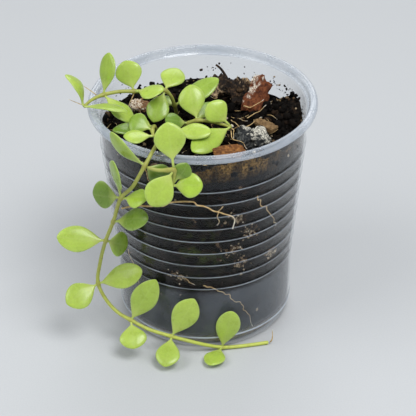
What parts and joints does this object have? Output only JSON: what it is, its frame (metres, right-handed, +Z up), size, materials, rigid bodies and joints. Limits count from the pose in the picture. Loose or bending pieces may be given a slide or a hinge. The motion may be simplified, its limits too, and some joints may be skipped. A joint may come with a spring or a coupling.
{
  "type": "potted string of nickels",
  "caption": "Clear ribbed plastic cup of dark potting mix with a young trailing succulent whose stem of paired round leaves hangs over the rim and runs along the surface",
  "frame": {"origin": "centre of the cup's underside, on the surface it stands on", "axes": "+Z is up; -Y is the side that the long stem hangs down, and that stem's cut end points towards +X"},
  "size_m": [0.1081, 0.104, 0.121],
  "materials": {
    "clear_cup": "clear moulded polypropylene with a faint bluish haze",
    "potting_mix": "damp dark peat and bark crumbs",
    "leaf": "fleshy yellow-green leaf with a soft waxy gloss",
    "stem": "olive-yellow soft stem",
    "root": "dry tan root",
    "red_bark": "rough red-brown bark",
    "dark_bark": "rough near-black bark",
    "pale_wood": "dry tan wood chip",
    "stone": "grey stone speckled with pale mineral"
  },
  "bodies": {
    "root": {"cup": "clear_cup", "potting_mix": "potting_mix", "red_bark_chip": "red_bark", "black_bark_chip": "dark_bark", "pale_streaked_chip": "dark_bark", "tan_wood_chip": "pale_wood", "pale_left_chip": "pale_wood", "orange_bark_chip": "red_bark", "speckled_stone": "stone", "trailing_stem": "stem", "trailing_stem_leaf_1": "leaf", "trailing_stem_leaf_2": "leaf", "trailing_stem_leaf_3": "leaf", "trailing_stem_leaf_4": "leaf", "trailing_stem_leaf_5": "leaf", "trailing_stem_leaf_6": "leaf", "trailing_stem_leaf_7": "leaf", "trailing_stem_leaf_8": "leaf", "trailing_stem_leaf_9": "leaf", "trailing_stem_leaf_10": "leaf", "trailing_stem_leaf_11": "leaf", "trailing_stem_leaf_12": "leaf", "trailing_stem_leaf_13": "leaf", "trailing_stem_leaf_14": "leaf", "trailing_stem_leaf_15": "leaf", "trailing_stem_leaf_16": "leaf", "trailing_stem_leaf_17": "leaf", "side_shoot": "stem", "side_shoot_leaf_1": "leaf", "side_shoot_leaf_2": "leaf", "side_shoot_leaf_3": "leaf", "side_shoot_leaf_4": "leaf", "upper_left_shoot": "stem", "upper_left_shoot_leaf_1": "leaf", "upper_left_shoot_leaf_2": "leaf", "upper_left_shoot_leaf_3": "leaf", "upper_left_shoot_leaf_4": "leaf", "upper_left_shoot_leaf_5": "leaf", "upper_left_shoot_leaf_6": "leaf", "upper_left_shoot_leaf_7": "leaf", "upper_left_shoot_leaf_8": "leaf", "upper_left_shoot_leaf_9": "leaf", "upper_left_shoot_leaf_10": "leaf", "right_shoot": "stem", "right_shoot_leaf_1": "leaf", "right_shoot_leaf_2": "leaf", "right_shoot_leaf_3": "leaf", "right_shoot_leaf_4": "leaf", "right_shoot_leaf_5": "leaf", "crown_shoot": "stem", "crown_shoot_leaf_1": "leaf", "crown_shoot_leaf_2": "leaf", "crown_shoot_leaf_3": "leaf", "crown_shoot_leaf_4": "leaf", "long_aerial_root": "root", "stem_end_root": "root", "curled_sliver": "dark_bark"}
  },
  "joints": []
}
